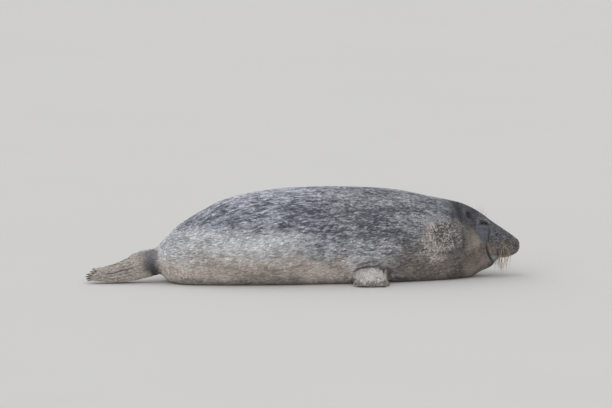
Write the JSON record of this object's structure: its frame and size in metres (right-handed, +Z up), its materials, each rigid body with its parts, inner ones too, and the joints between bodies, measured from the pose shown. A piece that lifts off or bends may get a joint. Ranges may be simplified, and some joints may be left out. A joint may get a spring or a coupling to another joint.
{
  "type": "grey seal",
  "caption": "Young grey seal lying on its belly, life size and still, head a little off the ground, hind flippers pressed together behind.",
  "frame": {"origin": "on the ground, under the middle of the animal's box", "axes": "+X towards the nose, +Y towards the animal's left side, +Z up"},
  "size_m": [1.3132, 0.433, 0.2791],
  "materials": {
    "coat": "short dense fur lying flat, mottled grey over a sandy belly",
    "nose_skin": "bare wet nose skin, fine grained",
    "eyeball": "dark brown wet eye, high gloss",
    "claw_horn": "dark horn, satin"
  },
  "bodies": {
    "root": {"rump": "coat", "trunk": "coat", "neck": "coat", "head": "coat", "jaw": "coat", "nose": "nose_skin", "tail": "coat", "eye_right": "eyeball", "eye_left": "eyeball", "fore_flipper_right": "coat", "hind_flipper_right": "coat", "fore_flipper_left": "coat", "hind_flipper_left": "coat", "fore_claw_right_1": "claw_horn", "fore_claw_right_2": "claw_horn", "fore_claw_right_3": "claw_horn", "fore_claw_right_4": "claw_horn", "fore_claw_right_5": "claw_horn", "hind_claw_right_1": "claw_horn", "hind_claw_right_2": "claw_horn", "hind_claw_right_3": "claw_horn", "hind_claw_right_4": "claw_horn", "hind_claw_right_5": "claw_horn", "fore_claw_left_1": "claw_horn", "fore_claw_left_2": "claw_horn", "fore_claw_left_3": "claw_horn", "fore_claw_left_4": "claw_horn", "fore_claw_left_5": "claw_horn", "hind_claw_left_1": "claw_horn", "hind_claw_left_2": "claw_horn", "hind_claw_left_3": "claw_horn", "hind_claw_left_4": "claw_horn", "hind_claw_left_5": "claw_horn"}
  },
  "joints": []
}
